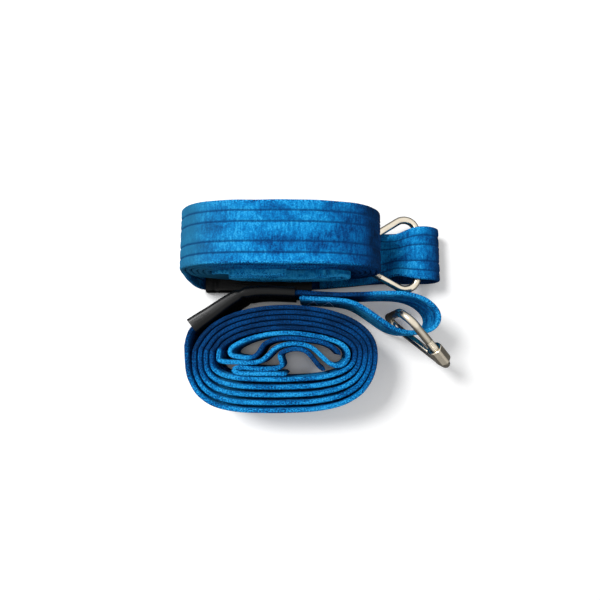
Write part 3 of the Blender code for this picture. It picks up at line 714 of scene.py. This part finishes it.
# The eye's end ply is sewn down by one zigzag of twisted two-ply thread, which stands proud of the pile.
THREAD_STEP = 0.25
THREAD_RADIUS = 0.4
THREAD_SIDES = 12
THREAD_TWIST = 2.4
THREAD_PLIES = 2
PLY_DEPTH = 0.14
STITCHED_POINTS = 10
STITCHED_STEP = 0.5
STITCH_EDGE = 5.0
STITCH_PITCH = 6.0
STITCH_LEGS = 4
STITCH_LIFT = 1.97

# Polyester thread has a soft gloss, and its fibres show light and dark. They are drawn 0.7 mm long and
# 0.25 mm thick, much coarser than real, so that they show.
FIBRE_COUNTS = (1500, 4000)
THREAD_DARK = "1C6FB4"
THREAD_LIGHT = "4DB9F5"

thread, tree, shader = new_material("twisted_polyester_thread")
cloth = node(tree, "ShaderNodeUVMap", uv_map="cloth").outputs["UV"]
strand = node(tree, "ShaderNodeMapping", {"Vector": cloth, "Scale": (*FIBRE_COUNTS, 1)})
fibres = node(tree, "ShaderNodeTexNoise", {"Vector": strand.outputs[0], "Scale": 1.0,
                                            "Detail": 2.0}).outputs[0]
colour = node(tree, "ShaderNodeMix", {0: fibres, 6: linear(THREAD_DARK), 7: linear(THREAD_LIGHT)},
              data_type="RGBA").outputs[2]
tree.links.new(colour, shader.inputs["Base Color"])
shader.inputs["Roughness"].default_value = 0.5
shader.inputs["Sheen Weight"].default_value = 0.3


def rod_rows(path, sideways, radius):
    """Round sections carried along a path in space, as rows of places.

    sideways is a direction square to the path, and radius holds each row's radius for each side.
    """
    ahead = np.gradient(path, axis=0)
    ahead /= np.linalg.norm(ahead, axis=1)[:, None]
    sideways = sideways - ahead * (sideways * ahead).sum(axis=1)[:, None]
    sideways /= np.linalg.norm(sideways, axis=1)[:, None]
    other = np.cross(ahead, sideways)
    turns = 2 * np.pi * np.arange(radius.shape[1]) / radius.shape[1]
    round_it = np.cos(turns)[:, None] * sideways[:, None] + np.sin(turns)[:, None] * other[:, None]
    return path[:, None] + radius[..., None] * round_it


# The thread's radius waves twice round it, once for each ply, and the wave winds round every 2.4 mm.
for strap in (FRONT, REAR):
    prefix = strap["name"]
    corners = np.arange(STITCH_LEGS + 1)
    swing = (HALF_WIDTH - STITCH_EDGE) * (-1.0) ** (corners + 1)
    route, shifts = strap["route"][:STITCHED_POINTS], strap["values"][1][:STITCHED_POINTS]
    points, far, (shift,) = resample(route, STITCHED_STEP, shifts)
    ahead = np.gradient(points, axis=0)
    ahead /= np.linalg.norm(ahead, axis=1)[:, None]
    left = np.stack([-ahead[:, 1], ahead[:, 0]], axis=1)
    lifted = points + strap["stitch_side"] * STITCH_LIFT * left
    leg = np.linspace(0, STITCH_LEGS, int(STITCH_LEGS * 2 * HALF_WIDTH / THREAD_STEP))
    places = STITCH_EDGE + STITCH_PITCH * leg
    flat = np.stack([np.interp(places, far, column) for column in (*lifted.T, shift)], axis=1)
    flat[:, 2] += np.interp(leg, corners, swing)
    path = strap["zero"] + flat @ strap["axes"]
    outward = np.stack([np.interp(places, far, column) for column in left.T], axis=1) @ strap["axes"][:2]
    length = distance_along(path)
    turns = 2 * np.pi * np.arange(THREAD_SIDES) / THREAD_SIDES
    wound = THREAD_PLIES * (turns - 2 * np.pi * length[:, None] / THREAD_TWIST)
    radius = THREAD_RADIUS * (1 - PLY_DEPTH + PLY_DEPTH * np.cos(wound))
    around = np.linspace(0, 2 * np.pi * THREAD_RADIUS, THREAD_SIDES + 1)
    mesh = skin(prefix + "_zigzag_thread", rod_rows(path, outward, radius), length, around)
    dress(prefix + "_zigzag_thread", mesh, thread, prefix + "_strap", "thread", prefix + "_eye_stitching")


# The delta link is a stainless rod bent into a triangle. Its gap, on one side, is bridged by a long
# hexagon nut on a cut thread, and the rod and the nut are tumbled bright.
ROD_RADIUS = 3.1
LINK_HALF_WIDTH = 29.4
LINK_HALF_ANGLE = math.radians(31)
LINK_BASE_BEND = 10.0
LINK_APEX_BEND = 7.0
LINK_GAP = 8.0
NUT_FROM_APEX_BEND = 9.0
ROD_SIDES = 40
ROD_STEP = 0.9
THREAD_LENGTHS = (3.4, 13.0)
CUT_PITCH = 1.25
CUT_DEPTH = 0.36
CUT_FADE = 1.2
CUT_STEP = 0.16
ROD_END_CHAMFER = 0.7
ROD_SHARP_ANGLE = 60
NUT_LENGTH = 15.0
NUT_ACROSS_FLATS = 11.0
NUT_BORE = 3.4
NUT_BORE_EDGE = (0.5, 0.45)
NUT_SIDES = 96
NUT_CORNER_EASING = 0.45
NUT_FACE_DROP = 0.35
NUT_TURNED_ANGLE = 30
NUT_END_STATIONS = (0.0, 0.25, 0.5, 0.8, 1.2, 1.7)
NUT_SHARP_ANGLE = 25

# Tumbled stainless steel is a warm pale grey that mirrors the floor and the straps clearly. It is duller
# in clouds about 8 mm wide, and a grain of 0.7 mm breaks the edges of what it mirrors. Both are given by
# their counts in a metre and their detail.
STEEL_GRAIN = (1400.0, 3.0)
STEEL_CLOUDS = (130.0, 2.0)
STEEL_COLOUR = "E8DFCE"
STEEL_DULL = "CCC1AC"

steel, tree, shader = new_material("bright_tumbled_stainless_steel")
place = node(tree, "ShaderNodeTexCoord").outputs["Object"]
grain, clouds = (
    node(tree, "ShaderNodeTexNoise", {"Vector": place, "Scale": counts, "Detail": detail}).outputs[0]
    for counts, detail in (STEEL_GRAIN, STEEL_CLOUDS))
polish = node(tree, "ShaderNodeMapRange", {"Value": clouds, "From Min": 0.35, "From Max": 0.7,
                                            "To Min": 0.13, "To Max": 0.27}).outputs[0]
tree.links.new(polish, shader.inputs["Roughness"])
colour = node(tree, "ShaderNodeMix", {0: clouds, 6: linear(STEEL_COLOUR), 7: linear(STEEL_DULL)},
              data_type="RGBA").outputs[2]
tree.links.new(colour, shader.inputs["Base Color"])
shader.inputs["Metallic"].default_value = 1.0
bump = node(tree, "ShaderNodeBump", {"Height": grain, "Strength": 0.12, "Distance": 0.05 * MM})
tree.links.new(bump.outputs["Normal"], shader.inputs["Normal"])


def arc(middle, radius, first, last):
    """Points of an arc in the link's plane, one a degree, from one angle to another in degrees."""
    turns = np.radians(np.linspace(first, last, int(abs(last - first)) + 1))
    return np.stack([middle[0] + radius * np.cos(turns), middle[1] + radius * np.sin(turns)], axis=1)


def in_strap(strap, places):
    """Places of the link, as (towards its tip, off its plane, along its wide wire), in the pair's frame."""
    heading = math.radians(strap["heading"])
    ahead, beside = (math.cos(heading), math.sin(heading), 0), (-math.sin(heading), math.cos(heading), 0)
    return strap["zero"] + (np.array(strap["hinge"]) + places @ (ahead, beside, (0, 0, 1))) @ strap["axes"]


# The rod's centre line runs from one side of the gap round the tip and both wide corners to the gap's
# other side. The cut thread at its ends is a cosine round the rod that moves on by one pitch a turn.
side_facing = 90 - math.degrees(LINK_HALF_ANGLE)
corner_place = LINK_HALF_WIDTH - LINK_BASE_BEND
tip_place = corner_place + LINK_BASE_BEND / math.tan(math.radians(side_facing / 2))
apex = tip_place / math.tan(LINK_HALF_ANGLE) - LINK_APEX_BEND / math.sin(LINK_HALF_ANGLE)
side_start = arc((apex, 0), LINK_APEX_BEND, side_facing, side_facing)[0]
side_back = np.array([-math.cos(LINK_HALF_ANGLE), math.sin(LINK_HALF_ANGLE)])
bent = np.vstack([
    side_start + side_back * (NUT_FROM_APEX_BEND - LINK_GAP / 2),
    arc((apex, 0), LINK_APEX_BEND, side_facing, -side_facing),
    arc((LINK_BASE_BEND, -corner_place), LINK_BASE_BEND, -side_facing, -180),
    arc((LINK_BASE_BEND, corner_place), LINK_BASE_BEND, 180, side_facing),
    side_start + side_back * (NUT_FROM_APEX_BEND + LINK_GAP / 2),
])
bent_far = distance_along(bent)
total = bent_far[-1]
first_cut, last_cut = THREAD_LENGTHS
rod_far = np.concatenate([np.arange(0, first_cut, CUT_STEP),
                          np.arange(first_cut, total - last_cut, ROD_STEP),
                          np.arange(total - last_cut, total, CUT_STEP), [total]])
rod_flat = np.stack([np.interp(rod_far, bent_far, column) for column in bent.T], axis=1)
rod_path = np.stack([rod_flat[:, 0], np.zeros(len(rod_far)), rod_flat[:, 1]], axis=1)
cut = np.clip(np.maximum(first_cut - rod_far, rod_far - (total - last_cut)) / CUT_FADE, 0, 1)
turns = 2 * np.pi * np.arange(ROD_SIDES) / ROD_SIDES
screw = 0.5 + 0.5 * np.cos(2 * np.pi * rod_far[:, None] / CUT_PITCH - turns)
to_end = np.minimum(rod_far, total - rod_far)
chamfer = ROD_END_CHAMFER * np.clip(1 - to_end / ROD_END_CHAMFER, 0, 1)
rod_radius = ROD_RADIUS - CUT_DEPTH * cut[:, None] * screw - chamfer[:, None]
rod_around = np.linspace(0, 2 * np.pi * ROD_RADIUS, ROD_SIDES + 1)

# The nut's section is a hexagon with its corners eased, turned off at both ends at thirty degrees.
angle = 2 * np.pi * np.arange(NUT_SIDES) / NUT_SIDES
in_flat = (angle + np.pi / 6) % (np.pi / 3) - np.pi / 6
hexagon = np.minimum(NUT_ACROSS_FLATS / 2 / np.cos(in_flat),
                     NUT_ACROSS_FLATS / 2 / math.cos(math.pi / 6) - NUT_CORNER_EASING)
ends = np.array(NUT_END_STATIONS)
nut_end = NUT_LENGTH / 2
stations = np.concatenate([-nut_end + ends, nut_end - ends[::-1]])
slope = math.tan(math.radians(NUT_TURNED_ANGLE))
turned = NUT_ACROSS_FLATS / 2 - NUT_FACE_DROP + (nut_end - np.abs(stations)) / slope
outside = np.minimum(hexagon, turned[:, None])
inwards, widening = NUT_BORE_EDGE
bore_stations = np.array([nut_end, nut_end - inwards, -nut_end + inwards, -nut_end])
bore_radius = np.array([NUT_BORE + widening, NUT_BORE, NUT_BORE, NUT_BORE + widening])
nut_radius = np.concatenate([outside, np.broadcast_to(bore_radius[:, None], (4, NUT_SIDES))])
nut_station = np.concatenate([stations, bore_stations])
nut_axis = np.array([side_back[0], 0.0, side_back[1]])
nut_middle = np.array([side_start[0], 0.0, side_start[1]]) + nut_axis * NUT_FROM_APEX_BEND
nut_flat = np.array([0.0, 1.0, 0.0])
nut_side = np.cross(nut_axis, nut_flat)
nut_rows = (nut_middle + nut_station[:, None, None] * nut_axis + nut_radius[..., None] * (
    np.cos(angle)[:, None] * nut_flat + np.sin(angle)[:, None] * nut_side))

for strap in (FRONT, REAR):
    prefix = strap["name"]
    rows = in_strap(strap, rod_rows(rod_path, np.broadcast_to((0.0, 1.0, 0.0), rod_path.shape), rod_radius))
    mesh = skin(prefix + "_bent_rod", rows, rod_far, rod_around)
    mesh.set_sharp_from_angle(angle=math.radians(ROD_SHARP_ANGLE))
    dress(prefix + "_bent_rod", mesh, steel, prefix + "_link", "steel", prefix + "_link_body")

    mesh = skin(prefix + "_hexagon_nut", in_strap(strap, nut_rows), np.arange(len(nut_station)) * 1.0,
                np.linspace(0, 2 * np.pi * NUT_ACROSS_FLATS / 2, NUT_SIDES + 1), looped=True)
    mesh.set_sharp_from_angle(angle=math.radians(NUT_SHARP_ANGLE))
    dress(prefix + "_hexagon_nut", mesh, steel, prefix + "_nut", "steel", prefix + "_link_nut")
